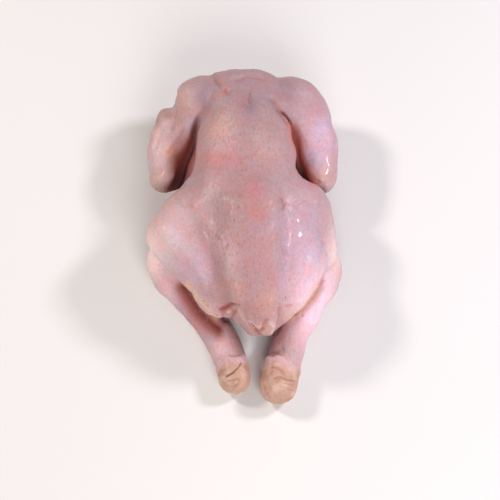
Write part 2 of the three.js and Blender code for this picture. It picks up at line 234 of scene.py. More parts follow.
def trunk(place):
    """Two breast muscles, ribs, rump, tail and neck stump, each blended into the last. Each muscle is
    seven tenths as wide as the breast and lies three tenths of the width off its middle."""
    half = (BREAST["length"], BREAST["width"] * 0.7, BREAST["depth"])
    apart = BREAST["width"] * 0.3
    left = oval(place, (BREAST["x"] - apart, BREAST["y"], BREAST["z"]), half, 94, square=2.2)
    right = oval(place, (BREAST["x"] + apart, BREAST["y"], BREAST["z"]), half, 86, square=2.2)
    flesh = blend(left, right, BLEND["breast"])
    flesh = blend(flesh, oval(place, **RIBS), BLEND["ribs"])
    flesh = blend(flesh, oval(place, **RUMP), BLEND["rump"])
    flesh = blend(flesh, limb(place, TAIL_BONE), BLEND["tail_root"])
    neck = blend(oval(place, **NECK), limb(place, COLLAR_BONE), BLEND["neck"])
    flesh = blend(flesh, neck, BLEND["neck"])
    lobes = blend(oval(place, **RIGHT_TAIL_LOBE), oval(place, **LEFT_TAIL_LOBE), BLEND["tail_lobes"])
    return blend(flesh, lobes, BLEND["tail"])


def thighs(place):
    """The broad thigh lobes beside the rump, with the loose flank skin in front of each."""
    left = blend(oval(place, **LEFT_THIGH), oval(place, **LEFT_LOBE_TIP), BLEND["lobe_tip"])
    left = blend(left, oval(place, **LEFT_FLANK), BLEND["flank"])
    right = blend(oval(place, **RIGHT_THIGH), oval(place, **RIGHT_KNEE), BLEND["knee"])
    right = blend(right, oval(place, **RIGHT_FLANK), BLEND["flank"])
    return blend(left, right, BLEND["thighs"])


def wing(place, forearm, upper_arm):
    """A folded wing: the upper arm, thick at the shoulder, blended with the forearm laid outside it."""
    return blend(limb(place, forearm), limb(place, upper_arm), BLEND["arm"])


def bird(place):
    """The whole bird: below zero inside the flesh, above zero outside. A hollow is a limb of air, stretched
    upright and taken away. Each fold adds its depth times the bell curve of the distance from its route."""
    flesh = blend(trunk(place), thighs(place), BLEND["thigh"])
    flesh = blend(flesh, np.minimum(limb(place, LEFT_LEG), limb(place, RIGHT_LEG)), BLEND["leg"])
    left_wing = wing(place, LEFT_FOREARM, LEFT_UPPER_ARM)
    right_wing = wing(place, RIGHT_FOREARM, RIGHT_UPPER_ARM)
    flesh = blend(flesh, np.minimum(left_wing, right_wing), BLEND["wing"])
    for tall, reach, route in HOLLOWS:
        middle = np.mean([station[2] for station in route])
        pressed = (place[0], place[1], middle + (place[2] - middle) / tall)
        flesh = -blend(-flesh, limb(pressed, route), reach)
    for width, depth, route in FOLDS:
        flesh = flesh + depth * bell(limb(place, [(*p, 0) for p in route]), width)
    return flesh


def slope_of(field, points, step=0.15):
    """Slope of a field at points, by differences over a short step along each axis."""
    slope = np.empty_like(points)
    for axis in range(3):
        forward, backward = points.copy(), points.copy()
        forward[:, axis] += step
        backward[:, axis] -= step
        slope[:, axis] = (field(forward.T) - field(backward.T)) / (2 * step)
    return slope


NEWTON_STEPS = 3
LEAST_SLOPE_SQUARED = 0.1


def net(field, low, high, cell):
    """Closed net over the surface where the field is zero: one vertex in each cell of the grid that the
    surface crosses, at the mean of its edge crossings, then moved onto the surface by Newton steps that
    stay in the cell, and one four-sided face across each grid edge that the surface cuts."""
    axes = [np.arange(low[i], high[i] + cell, cell) for i in range(3)]
    place = (axes[0][:, None, None], axes[1][None, :, None], axes[2][None, None, :])
    values = field(place)
    flesh = values < 0
    cells = tuple(n - 1 for n in values.shape)
    total = np.zeros(cells + (3,))
    crossings = np.zeros(cells)

    def corner(array, offset):
        return array[tuple(slice(o, o + n) for o, n in zip(offset, cells))]

    for axis in range(3):
        for u in (0, 1):
            for v in (0, 1):
                start = [u, v]
                start.insert(axis, 0)
                end = list(start)
                end[axis] = 1
                a, b = corner(values, start), corner(values, end)
                cut = corner(flesh, start) != corner(flesh, end)
                share = np.where(cut, a / np.where(cut, a - b, 1), 0)
                for i in range(3):
                    total[..., i] += np.where(cut, share if i == axis else start[i], 0)
                crossings += cut
    used = np.argwhere(crossings > 0)
    number = np.full(cells, -1)
    number[tuple(used.T)] = np.arange(len(used))
    corner_low = np.array(low) + used * cell
    vertices = corner_low + cell * total[tuple(used.T)] / crossings[tuple(used.T)][:, None]
    for _ in range(NEWTON_STEPS):
        slope = slope_of(field, vertices)
        slope_squared = np.maximum((slope ** 2).sum(1), LEAST_SLOPE_SQUARED)
        vertices = vertices - slope * (field(vertices.T) / slope_squared)[:, None]
        vertices = np.clip(vertices, corner_low, corner_low + cell)

    quads = []
    for axis in range(3):
        second, third = (axis + 1) % 3, (axis + 2) % 3
        start = [slice(1, -1)] * 3
        end = list(start)
        end[axis] = slice(2, None)
        inside, beyond = flesh[tuple(start)], flesh[tuple(end)]
        here = np.argwhere(inside != beyond) + 1
        turned = flesh[tuple(here.T)]
        ring = []
        for s, t in ((0, 0), (1, 0), (1, 1), (0, 1)):
            neighbour = here.copy()
            neighbour[:, second] -= s
            neighbour[:, third] -= t
            ring.append(number[tuple(neighbour.T)])
        ring = np.stack(ring, 1)
        quads.append(np.where(turned[:, None], ring, ring[:, ::-1]))
    return vertices, np.concatenate(quads)


def add_piece(name, vertices, faces):
    """A new smooth-shaded mesh object at the origin, from vertices in millimetres about the form centre and
    faces with one number of sides, put into the mesh as whole arrays."""
    mesh = bpy.data.meshes.new(name)
    sides = faces.shape[1]
    mesh.vertices.add(len(vertices))
    mesh.loops.add(faces.size)
    mesh.polygons.add(len(faces))
    mesh.vertices.foreach_set("co", ((vertices - FORM_CENTRE) * MILLIMETRE).ravel())
    mesh.loops.foreach_set("vertex_index", faces.ravel())
    mesh.polygons.foreach_set("loop_start", np.arange(len(faces)) * sides)
    mesh.polygons.foreach_set("use_smooth", np.ones(len(faces), bool))
    mesh.update(calc_edges=True)
    mesh.validate()
    piece = bpy.data.objects.new(name, mesh)
    bpy.context.scene.collection.objects.link(piece)
    return piece


def picture_place(points):
    """Pixel across and pixel down at which the camera sees each place: the sideways and upward offsets
    from the eye over the distance ahead of it."""
    sight = points - eye
    deep = sight @ ahead
    across = MIDDLE_PIXEL[0] + PIXELS_PER_SLOPE * sight[:, 0] / deep
    return across, MIDDLE_PIXEL[1] - PIXELS_PER_SLOPE * (sight @ upward) / deep


def from_route(across, down, route):
    """Distance in the picture from a route of straight stretches: the least distance to a stretch."""
    nearest = np.full(across.shape, 1e3)
    for (x0, y0), (x1, y1) in zip(route[:-1], route[1:]):
        way_x, way_y = x1 - x0, y1 - y0
        along = ((across - x0) * way_x + (down - y0) * way_y) / (way_x ** 2 + way_y ** 2)
        along = np.clip(along, 0, 1)
        nearest = np.minimum(nearest, np.hypot(across - x0 - along * way_x, down - y0 - along * way_y))
    return nearest


def waves(points, length, seed, count=24):
    """Even random lumps between about -1 and 1: the mean of plane waves of one length, each in a
    direction and phase drawn with the seed."""
    draw = np.random.default_rng(seed)
    way = draw.normal(size=(3, count))
    way *= 2 * np.pi / (length * np.linalg.norm(way, axis=0) * draw.uniform(0.75, 1.35, count))
    return np.sin(points @ way + draw.uniform(0, 2 * np.pi, count)).sum(1) / np.sqrt(count)


# Creases are below zero and ridges above it: half width in pixels, height in millimetres, route in pixels
CREASES = [
    (2.6, -1.2, [(176, 108), (173, 119), (170, 132)]),
    (2.2, -1.0, [(161, 128), (158, 138), (154, 148)]),
    (2.2, -2.0, [(272, 99), (279, 111), (287, 122)]), (3.0, 1.3, [(216, 75), (221, 82), (228, 88)]),
    (2.4, -1.3, [(214, 80), (221, 88), (227, 93)]), (2.4, -1.2, [(236, 79), (246, 77), (264, 79)]),
    (1.8, -0.9, [(282.5, 199), (285, 204), (283.5, 209)]), (3.0, -1.5, [(284, 248), (286, 253)]),
    (2.4, -1.2, [(175, 199), (183, 205), (190, 206)]),
    (1.8, -2.0, [(252, 323), (255, 329), (258, 334), (262, 337)]),
    (1.6, -1.8, [(262, 329), (264, 323), (267, 319)]),
    (3.0, 1.4, [(250, 318), (256, 324), (260, 324)]), (3.5, 1.6, [(270, 321), (274, 326), (271, 332)]),
    (2.4, -1.4, [(240, 308), (245, 318), (250, 327)]),
    (2.6, -1.8, [(279, 306), (280, 320), (275, 333)]),
    (2.2, -2.4, [(220, 310), (229, 306), (238, 305)]),
    (2.0, -1.4, [(222, 312), (225, 319), (232, 320)]),
    (1.8, -1.5, [(238, 306), (235, 313), (230, 319)]),
    (2.2, -1.2, [(327, 226), (331, 238), (328, 252)]),
    (2.4, -1.8, [(323, 240), (323, 262), (320, 282)]),
    (2.0, -1.0, [(335, 232), (336, 246), (333, 256)]),
    (2.0, -0.8, [(328, 262), (334, 256), (340, 254)]),
    (8, -1.9, [(201, 228), (208, 250), (217, 274), (228, 300)]),
    (7, 1.4, [(221, 238), (228, 262), (238, 296)]), (7, -1.2, [(290, 214), (292, 250), (285, 298)]),
    (6, 0.8, [(276, 220), (277, 256), (271, 300)]), (4, 1.0, [(236, 303), (244, 318), (252, 329)]),
    (2.2, -0.9, [(203, 272), (209, 284), (211, 296)]), (2.2, -0.9, [(196, 278), (200, 288)]),
    (2.2, -0.8, [(312, 268), (308, 282), (300, 296)]),
    (2.0, -0.8, [(303, 262), (302, 276), (296, 290)]),
    (2.2, -1.0, [(152, 122), (160, 128), (170, 128)]),
    (2.2, -0.9, [(148, 175), (155, 176), (161, 172)]),
    (2.2, -0.9, [(330, 176), (324, 184), (318, 182)]),
    (2.0, -0.8, [(296, 204), (304, 200), (314, 202)]),
]
# Lumps are raised and pits are below zero: pixel across and down, radius in pixels, height in millimetres
LUMPS = [
    (250.5, 105, 7, -1.6), (259, 101, 2.5, 0.7), (242, 108, 3, 0.6), (228, 312.5, 2.2, 2.2),
    (229, 312, 6, -1.8), (150, 270, 6, 1.4), (190, 288, 4, 1.1), (196, 298, 4, 1.2),
    (203, 304, 4, 1.0), (209, 312, 4, 1.3), (217, 320, 4, 1.1), (226, 325, 4, 1.2), (236, 327, 4, 1.0),
    (319, 288, 4, 1.2), (314, 298, 4, 1.3), (307, 306, 4, 1.1), (299, 314, 4, 1.2), (290, 318, 4, 1.1),
    (283, 321, 4, 1.0), (261, 327, 3, 1.2), (271, 324, 4, 1.0), (248, 318, 5, 0.9),
    (155, 118, 4, -1.0), (225, 91, 2.5, -0.8),
]
# Tracts of fine wrinkles: middle across and down, reach across and down, the turn of their run in degrees,
# their gap in pixels and depth in millimetres
WRINKLED = [
    (303, 176, 15, 13, 40, 5.5, 0.55), (206, 283, 12, 14, 62, 6, 0.5), (305, 285, 12, 16, 118, 6, 0.5),
    (250, 78, 26, 6, 2, 5.5, 0.5), (226, 240, 13, 12, 75, 5, 0.55), (182, 186, 14, 10, -40, 5.5, 0.4),
    (222, 156, 14, 10, 15, 5, 0.35), (333, 240, 7, 16, 80, 5, 0.5), (268, 310, 12, 9, 70, 5, 0.4),
    (218, 325, 8, 8, 40, 5, 0.4), (160, 285, 12, 10, 35, 5.5, 0.4), (250, 105, 9, 8, 20, 5, 0.5),
]
WRINKLE_SHARPNESS = 0.45
# Loose swells over the whole skin: length, height and seed
SWELLS = [(30, 0.7, 3), (13, 0.2, 5), (6, 0.06, 8)]
# The gathered opening of the neck skin, at the front between the shoulders: its middle, half width, half
# height and depth, where the neck's front begins, and its rim, waves and gathers
NECK_OPENING = dict(x=2, z=60, wide=12, tall=6, depth=7)
NECK_FRONT = 120
NECK_RIM = dict(at=1.5, wide=0.4, height=1.2, waves=9, uneven=0.12)
NECK_GATHERS = dict(at=1.7, wide=0.8, depth=0.7, turns=5.5, sharp=0.4)
OUT_OF_REACH = 9
# Past a share of the leg's last bone the skin is drawn in under the hock skin, over a further share, by
# a depth in millimetres. It is felt only near the hock and behind it.
HOCK_DRAWN_IN = dict(share=0.25, over=0.15, depth=1.2, near=50, before=5)


def gathered_round(points, wander):
    """Turn round the neck opening, and distance from its middle in half sizes, with a wavy rim."""
    sideways, upwards = points[:, 0] - NECK_OPENING["x"], points[:, 2] - NECK_OPENING["z"]
    turned = np.arctan2(upwards, sideways)
    away = np.hypot(sideways / NECK_OPENING["wide"], upwards / NECK_OPENING["tall"])
    away = away * (1 + NECK_RIM["uneven"] * np.cos(NECK_RIM["waves"] * turned + wander))
    return turned, np.where(points[:, 1] > NECK_FRONT, away, OUT_OF_REACH)


def drawn_in(points, leg):
    """How far the skin is drawn in at each place: nothing up to a share of the leg's last bone, then a
    ramp to the full depth."""
    start, end = (np.array(station) for station in leg[-2:])
    bone = (end - start)[:3]
    beyond = (points - start[:3]) @ bone / (bone ** 2).sum()
    near = np.linalg.norm(points - start[:3], axis=1) < HOCK_DRAWN_IN["near"]
    behind = points[:, 1] < start[1] + HOCK_DRAWN_IN["before"]
    ramp = np.clip((beyond - HOCK_DRAWN_IN["share"]) / HOCK_DRAWN_IN["over"], 0, 1)
    return np.where(near & behind, HOCK_DRAWN_IN["depth"] * ramp, 0)


SKIN_CELL = 1.4
vertices, quads = net(bird, (-104, -160, -19), (104, 162, 112), SKIN_CELL)
outward = slope_of(bird, vertices)
outward /= np.linalg.norm(outward, axis=1)[:, None]
across, down = picture_place(vertices)
# One on skin that faces the camera, and nought on what it can't see
faced = np.clip(0.5 - 1.4 * (outward @ ahead), 0, 1)


def spot(x, y, reach_x, reach_y):
    """How much each seen vertex of the skin lies in an oval spot of the picture: a bell curve of its
    offsets over the reaches."""
    return faced * bell(across - x, reach_x) * bell(down - y, reach_y)


def strip(half_width, route):
    """How much each seen vertex of the skin lies on a route in the picture: a bell curve of its distance
    from the route."""
    return faced * bell(from_route(across, down, route), half_width)


rise = sum(height * waves(vertices, length, seed) for length, height, seed in SWELLS)
for half_width, height, route in CREASES:
    rise += height * strip(half_width, route)
for x, y, radius, height in LUMPS:
    rise += height * spot(x, y, radius, radius)
wander = waves(vertices, 14, 11)
for x, y, reach_x, reach_y, turn, gap, depth in WRINKLED:
    over = down * np.cos(np.radians(turn)) - across * np.sin(np.radians(turn)) + 1.3 * wander
    rise -= depth * spot(x, y, reach_x, reach_y) * bell(np.sin(np.pi * over / gap), WRINKLE_SHARPNESS)
rise -= drawn_in(vertices, LEFT_LEG) + drawn_in(vertices, RIGHT_LEG)
turned, gathered = gathered_round(vertices, wander)
rise -= NECK_OPENING["depth"] * bell(gathered, 1)
rise += NECK_RIM["height"] * bell(gathered - NECK_RIM["at"], NECK_RIM["wide"])
pleats = bell(np.sin(NECK_GATHERS["turns"] * turned + 0.6 * wander), NECK_GATHERS["sharp"])
rise -= NECK_GATHERS["depth"] * bell(gathered - NECK_GATHERS["at"], NECK_GATHERS["wide"]) * pleats
vertices = vertices + outward * rise[:, None]
vertices[:, 2] = np.maximum(vertices[:, 2], 0)
skin = add_piece("skin", vertices, quads)


def tint(red, green, blue):
    """A colour as a screen shows it, 0 to 255, made linear for the shader."""
    share = np.array([red, green, blue]) / 255
    return np.where(share > 0.04045, ((share + 0.055) / 1.055) ** 2.4, share / 12.92)


def eased(value, low, high):
    """Zero up to low, one from high on, and a smooth S between them."""
    share = np.clip((value - low) / (high - low), 0, 1)
    return share * share * (3 - 2 * share)


# The darkest red is only painted shade, for crevices, the neck opening and the gap under the lobes. The
# meat red is wet flesh, and in the gaps by the wings and under the lobes it is also painted shade. The
# bruise colour is a bruise on the back, and painted shade in the shoulder hollows and at the top of the
# left wing's gap.
TISSUE = dict(
    skin=tint(188, 156, 156), grey=tint(162, 138, 144), rose=tint(196, 138, 142),
    flush=tint(200, 122, 126), lilac=tint(197, 169, 185), pearl=tint(212, 188, 190),
    peach=tint(218, 182, 164), fat=tint(226, 190, 166), petal=tint(204, 177, 196),
    mauve=tint(174, 138, 140), tan=tint(160, 104, 84), bruise_and_hollow_shade=tint(146, 124, 140),
    meat_and_shade=tint(158, 88, 78), rust=tint(206, 122, 104), deep_shade=tint(112, 42, 37),
    pale=tint(250, 226, 220), blush=tint(248, 214, 226),
)
# Soft patches of colour, some of them painted light or painted shade as marked: tissue, strength, middle
# across and down, reach across and down
PATCHES = [
    ("grey", 0.85, 250, 100, 50, 36), ("mauve", 0.8, 246, 190, 46, 70),
    ("mauve", 0.6, 256, 280, 22, 40), ("rose", 0.35, 262, 268, 16, 34),
    # The second peach spot, at the left lobe's outer edge, is painted light from the warm lamp on the left
    ("peach", 0.5, 158, 134, 9, 26), ("peach", 0.5, 149, 226, 8, 30),
    ("peach", 0.15, 222, 128, 14, 26), ("blush", 1.0, 322, 292, 12, 22),
    ("rose", 0.5, 222, 158, 22, 7), ("rust", 0.3, 220, 158, 12, 5), ("rust", 0.3, 262, 320, 18, 16),
    ("mauve", 0.35, 258, 282, 26, 26), ("rose", 0.6, 276, 345, 8, 22), ("rose", 0.6, 238, 345, 8, 20),
    ("pearl", 0.9, 168, 240, 30, 40), ("lilac", 0.7, 196, 268, 20, 24),
    ("lilac", 0.9, 306, 242, 20, 46), ("pearl", 0.6, 158, 148, 16, 30),
    ("petal", 0.95, 320, 140, 18, 34), ("rose", 0.6, 315, 110, 9, 8), ("peach", 0.5, 185, 98, 9, 14),
    # Both spots here are painted shade in the shoulder hollows
    ("bruise_and_hollow_shade", 0.7, 204, 96, 11, 13), ("bruise_and_hollow_shade", 0.5, 288, 94, 10, 12),
    ("peach", 0.35, 222, 130, 15, 22), ("peach", 0.25, 264, 138, 12, 20),
    # The tan spot is painted shadow on the left wing's inner side, where the body shades it
    ("fat", 0.6, 228, 312, 2.2, 2.2), ("flush", 0.22, 224, 160, 13, 7), ("tan", 0.55, 171, 157, 7, 9),
    ("grey", 0.4, 168, 138, 9, 10), ("grey", 0.4, 270, 128, 9, 18), ("rose", 0.5, 224, 160, 16, 12),
    ("flush", 0.42, 254, 191, 12, 8), ("flush", 0.42, 257, 211, 10, 10),
    ("mauve", 0.5, 250, 306, 10, 12), ("peach", 0.5, 166, 200, 14, 10),
    # The two pale spots are painted light on the lit outer edges of the lobes, and the meat spot is painted
    # shadow under the left lobe, over wet meat
    ("pale", 1.0, 145, 258, 17, 30), ("pale", 0.75, 337, 250, 9, 30), ("meat_and_shade", 0.3, 180, 296, 14, 12),
    # The second spot is painted light, lifting the right leg where the lobe shades it
    ("rose", 0.6, 192, 318, 16, 16), ("blush", 1.0, 314, 312, 22, 44),
    ("blush", 0.6, 222, 347, 12, 14), ("blush", 0.6, 168, 300, 9, 20),
    # The meat spot is painted shade in the gap inside the left wing, over the red flesh there
    ("peach", 0.5, 236, 362, 18, 16), ("peach", 0.5, 280, 366, 18, 16), ("meat_and_shade", 0.8, 179, 157, 9, 18),
    # The first rust spot is painted shade in the gap inside the right wing, over the reddish flesh there
    ("rust", 0.35, 299, 150, 6, 20), ("peach", 0.5, 158, 182, 10, 12), ("meat_and_shade", 0.6, 156, 118, 4, 8),
    # The first peach spot is painted light on the lit side of the ridge left of the rump
    ("peach", 0.2, 230, 268, 7, 26), ("peach", 0.4, 268, 300, 8, 14), ("bruise_and_hollow_shade", 0.8, 250, 106, 7, 8),
    ("flush", 0.7, 225, 91, 3, 3), ("peach", 0.4, 322, 178, 10, 12), ("peach", 0.5, 266, 328, 9, 9),
    ("peach", 0.45, 168, 150, 8, 10),
]
# Thin strips along creases and edges, mostly stains, with the marked rows painted shade and one painted
# light: tissue, strength, half width and route
STAIN_LIGHT_AND_SHADE_STRIPS = [
    # Painted shade in the gap inside the left wing, over the red flesh there
    ("meat_and_shade", 0.75, 5, [(187, 142), (181, 156), (176, 170)]),
    # Painted shadow under the right lobe's edge, over wet meat
    ("meat_and_shade", 0.5, 3, [(322, 288), (312, 303), (298, 318), (284, 325)]),
    ("meat_and_shade", 0.75, 1.3, [(220, 310), (229, 306), (238, 305)]),
    ("meat_and_shade", 0.5, 1.2, [(221, 311), (224, 318), (232, 320)]),
    ("meat_and_shade", 0.6, 1.2, [(238, 306), (235, 313), (230, 319)]),
    ("meat_and_shade", 0.5, 3.2, [(225, 311), (232, 312)]), ("fat", 0.85, 1.3, [(227.6, 312.2), (229, 312.6)]),
    ("meat_and_shade", 0.85, 1.4, [(252, 323), (255, 329), (258, 334), (262, 337)]),
    ("tan", 0.7, 1.6, [(256, 331), (260, 331), (264, 328)]),
    ("meat_and_shade", 0.7, 1.1, [(262, 329), (264, 323), (267, 319)]),
    ("pale", 0.4, 1.4, [(251, 320), (256, 325), (261, 325)]),
    ("pale", 0.35, 2, [(270, 321), (274, 326), (272, 333)]),
    ("fat", 0.35, 2, [(237, 306), (243, 317), (250, 326)]),
    # Painted shade in the valley between the left lobe and the rump
    ("mauve", 0.7, 7, [(200, 226), (208, 250), (217, 274), (227, 298)]),
    ("lilac", 0.5, 6, [(288, 214), (289, 250), (284, 290)]),
    # Painted light on the lit side of the ridge left of the rump
    ("peach", 0.2, 6, [(222, 244), (230, 268), (240, 300)]),
    # Painted shade at the top of the left wing's gap
    ("bruise_and_hollow_shade", 0.4, 2, [(203, 108), (197, 124)]),
    ("meat_and_shade", 0.55, 1.2, [(274, 100), (281, 112), (287, 122)]),
    ("meat_and_shade", 0.5, 1.3, [(282, 199), (285, 204), (283, 209)]),
    ("tan", 0.35, 1.4, [(250, 92), (250, 107)]),
    ("fat", 0.75, 3.5, [(188, 284), (197, 296), (206, 305), (217, 318)]),
    ("fat", 0.65, 4, [(319, 286), (312, 298), (302, 309), (290, 317)]),
    ("tan", 0.5, 1.2, [(286, 306), (292, 305)]),
    ("meat_and_shade", 0.35, 1.2, [(279, 308), (280, 318), (277, 325)]),
    ("tan", 0.4, 1.0, [(214, 80), (221, 88), (227, 92)]),
    # Painted shade in the gap inside the right wing, over its reddish flesh
    ("rust", 0.7, 5, [(290, 126), (297, 146), (303, 164), (314, 184)]),
    # Painted shadow edge across the left wing's inner side, where the body shades it
    ("meat_and_shade", 0.4, 2, [(183, 130), (176, 142), (168, 152)]),
    ("tan", 0.35, 1.2, [(236, 79), (246, 77), (264, 79)]),
]
# Painted shadow under the lobes, over the wet meat that shows there, painted only on what lies lower than
# the lobes
UNDER_LOBE_MEAT_AND_SHADOW = [
    ("meat_and_shade", 0.85, 6, [(180, 288), (187, 301), (195, 313), (206, 325), (218, 334)]),
    ("deep_shade", 0.95, 4.5, [(184, 287), (192, 300), (200, 312), (210, 322), (219, 329)]),
    ("meat_and_shade", 0.5, 2, [(323, 281), (316, 293), (304, 309), (290, 319)]),
]
LOBE_EDGE_HEIGHT = 42
# Distances out from the skin at which a crevice is felt for, in millimetres, to paint shade into it
CREVICE_STEPS = (4, 9, 15)
# Where the skin is wet enough to glint: middle, reach and strength, as above
WET_PATCHES = [
    (304, 226, 8, 16, 0.8), (285, 250, 4, 6, 0.8), (191, 228, 7, 7, 0.6), (173, 228, 8, 7, 0.5),
    (158, 168, 8, 9, 0.7), (164, 187, 8, 6, 0.7), (319, 166, 10, 13, 0.8), (288, 123, 3, 3, 1.0),
    (326, 175, 10, 12, 0.5), (283, 204, 4, 6, 0.4), (228, 313, 3, 3, 0.6), (290, 372, 8, 10, 0.4),
]
# Where the feather follicles show: middle, reach and strength
PORE_TRACTS = [
    (248, 150, 38, 56, 0.9), (245, 240, 36, 50, 0.8), (224, 240, 14, 14, 0.7), (222, 158, 14, 10, 0.6),
    (252, 296, 26, 28, 0.7), (300, 178, 14, 14, 0.4),
]


def laid_over(colours, over, share):
    """Colours moved towards another one by a share at each vertex."""
    return colours + (over - colours) * share[:, None]


def add_paint(piece, colours):
    """Colours of the vertices, kept with the mesh for the material to read."""
    layer = piece.data.color_attributes.new("paint", "FLOAT_COLOR", "POINT")
    layer.data.foreach_set("color", np.column_stack([colours, np.ones(len(colours))]).ravel())


def add_share(piece, name, share):
    """A number at each vertex, kept with the mesh for the material to read."""
    layer = piece.data.attributes.new(name, "FLOAT", "POINT")
    layer.data.foreach_set("value", share)


patchy = waves(vertices, 34, 21)
lower = eased(LOBE_EDGE_HEIGHT - vertices[:, 2], -2, 3)
colour = np.tile(TISSUE["skin"], (len(vertices), 1))
colour = laid_over(colour, TISSUE["lilac"], 0.6 * eased(patchy, 0.2, 1.6))
colour = laid_over(colour, TISSUE["rose"], 0.5 * eased(-patchy, 0.4, 1.8))
# Painted shade: the more a place is shut in by the flesh round it, the more meat red and then darkest red
# is laid on it. This stands for the shade in gaps and crevices, over some real wet flesh there.
crevice_shade = sum(np.clip(1 - bird((vertices + outward * step).T) / step, 0, 1) for step in CREVICE_STEPS)
crevice_shade = crevice_shade / len(CREVICE_STEPS)
colour = laid_over(colour, TISSUE["meat_and_shade"], 0.8 * eased(crevice_shade, 0.28, 0.6))
colour = laid_over(colour, TISSUE["deep_shade"], 0.8 * eased(crevice_shade, 0.55, 0.9))
# Wet meat shows in the neck opening, and painted shade is laid deep in its middle
colour = laid_over(colour, TISSUE["meat_and_shade"], 0.9 * bell(gathered, 1.1))
colour = laid_over(colour, TISSUE["deep_shade"], 0.8 * np.exp(-(gathered / 0.7) ** 4))
for tissue, strength, x, y, reach_x, reach_y in PATCHES:
    colour = laid_over(colour, TISSUE[tissue], strength * spot(x, y, reach_x, reach_y))
# Stains, painted shade and painted light along creases and edges
for tissue, strength, half_width, route in STAIN_LIGHT_AND_SHADE_STRIPS:
    colour = laid_over(colour, TISSUE[tissue], strength * strip(half_width, route))
# Painted shadow and wet meat under the lobes
for tissue, strength, half_width, route in UNDER_LOBE_MEAT_AND_SHADOW:
    colour = laid_over(colour, TISSUE[tissue], strength * lower * strip(half_width, route))
wet = sum(strength * spot(*place) for *place, strength in WET_PATCHES)
pores = sum(strength * spot(*place) for *place, strength in PORE_TRACTS)
add_paint(skin, colour)
add_share(skin, "wetness", 0.035 + 0.6 * np.clip(wet, 0, 1))
add_share(skin, "pores", 0.25 + 0.75 * np.clip(pores, 0, 1))


class Shade:
    """A socket of a shader tree. Sums, differences and products of it, with numbers or with each other,
    add Math nodes."""

    def __init__(self, socket):
        self.socket = socket

    def math(self, operation, first, second):
        """The outcome of a Math node on two values."""
        tree = self.socket.id_data
        return node(tree, "ShaderNodeMath", {"operation": operation}, {0: first, 1: second})

    def __add__(self, other):
        return self.math("ADD", self, other)

    def __sub__(self, other):
        return self.math("SUBTRACT", self, other)

    def __rsub__(self, other):
        return self.math("SUBTRACT", other, self)

    def __mul__(self, other):
        return self.math("MULTIPLY", self, other)

    __radd__ = __add__
    __rmul__ = __mul__


def node(tree, kind, settings, inputs, output=0):
    """A node of a kind: its settings are set first, then each socket gets its number, colour or link."""
    made = tree.nodes.new(kind)
    for setting, value in settings.items():
        setattr(made, setting, value)
    for socket, value in inputs.items():
        if isinstance(value, Shade):
            tree.links.new(value.socket, made.inputs[socket])
        else:
            made.inputs[socket].default_value = value
    return Shade(made.outputs[output])


def mixed(tree, way, share, first, second):
    """Two colours brought together by a Mix node, in one of its ways of blending."""
    settings = {"data_type": "RGBA", "blend_type": way}
    return node(tree, "ShaderNodeMix", settings, {0: share, 6: first, 7: second}, 2)


def stretched(tree, value, low, high):
    """A number stretched so that low becomes 0 and high becomes 1, with a smooth S between them."""
    settings = {"interpolation_type": "SMOOTHSTEP"}
    return node(tree, "ShaderNodeMapRange", settings, {0: value, 1: low, 2: high})


def noise(tree, place, scale, detail, roughness=0.5):
    """Soft random lumps between 0 and 1, so many of them to the metre."""
    inputs = {"Vector": place, "Scale": scale, "Detail": detail, "Roughness": roughness}
    return node(tree, "ShaderNodeTexNoise", {}, inputs, "Fac")


def attribute(tree, name, output):
    """What a mesh keeps under a name at each vertex."""
    return node(tree, "ShaderNodeAttribute", {"attribute_name": name}, {}, output)


def fresh_finish(name):
    """A new material and its tree, with the shader's node for setting the sockets of the surface."""
    finish = bpy.data.materials.new(name)
    finish.use_nodes = True
    return finish, finish.node_tree, finish.node_tree.nodes["Principled BSDF"]


PORES_PER_METRE = 370.0
PORE_STRETCH = (1.0, 0.45, 1.0)
PORE_COLOUR = (0.44, 0.21, 0.15, 1.0)

skin_finish, tree, shader = fresh_finish("moist_skin")
body = node(tree, "ShaderNodeTexCoord", {}, {}, "Object")
painted = attribute(tree, "paint", "Color")
pore_share = attribute(tree, "pores", "Fac")
wetness_share = attribute(tree, "wetness", "Fac")
blotches = noise(tree, body, 70.0, 4.0, 0.6)
grain = noise(tree, body, 420.0, 4.0, 0.65)
along_body = {"Vector": body, "Scale": PORE_STRETCH}
pore_place = node(tree, "ShaderNodeMapping", {"vector_type": "POINT"}, along_body)
pore_grid = {"Vector": pore_place, "Scale": PORES_PER_METRE, "Randomness": 0.9}
pore_gap = node(tree, "ShaderNodeTexVoronoi", {}, pore_grid, "Distance")
pore = 1.0 - stretched(tree, pore_gap, 0.14, 0.42)
dome = 1.0 - stretched(tree, pore_gap, 0.0, 0.6)
warm = mixed(tree, "MULTIPLY", 1.0, painted, (1.05, 0.92, 0.90, 1.0))
cool = mixed(tree, "MULTIPLY", 1.0, painted, (0.97, 1.01, 1.06, 1.0))
flesh_colour = mixed(tree, "MIX", stretched(tree, blotches, 0.35, 0.65), warm, cool)
fine = grain * 0.5
grey_grain = node(tree, "ShaderNodeCombineColor", {}, {0: fine + 0.76, 1: fine + 0.75, 2: fine + 0.75})
flesh_colour = mixed(tree, "MULTIPLY", 1.0, flesh_colour, grey_grain)
pore_shade = pore * pore_share * stretched(tree, blotches, 0.2, 0.45) * 0.7
flesh_colour = mixed(tree, "MIX", pore_shade, flesh_colour, PORE_COLOUR)
tree.links.new(flesh_colour.socket, shader.inputs["Base Color"])
goose_flesh = dome * pore_share * 0.9 - pore * pore_share * 0.5
roughened = {"Strength": 0.5, "Distance": 0.0015, "Height": goose_flesh + grain * 0.3 + blotches * 0.25}
relief = node(tree, "ShaderNodeBump", {}, roughened)
tree.links.new(relief.socket, shader.inputs["Normal"])
tree.links.new((blotches * 0.3 + 0.38).socket, shader.inputs["Roughness"])
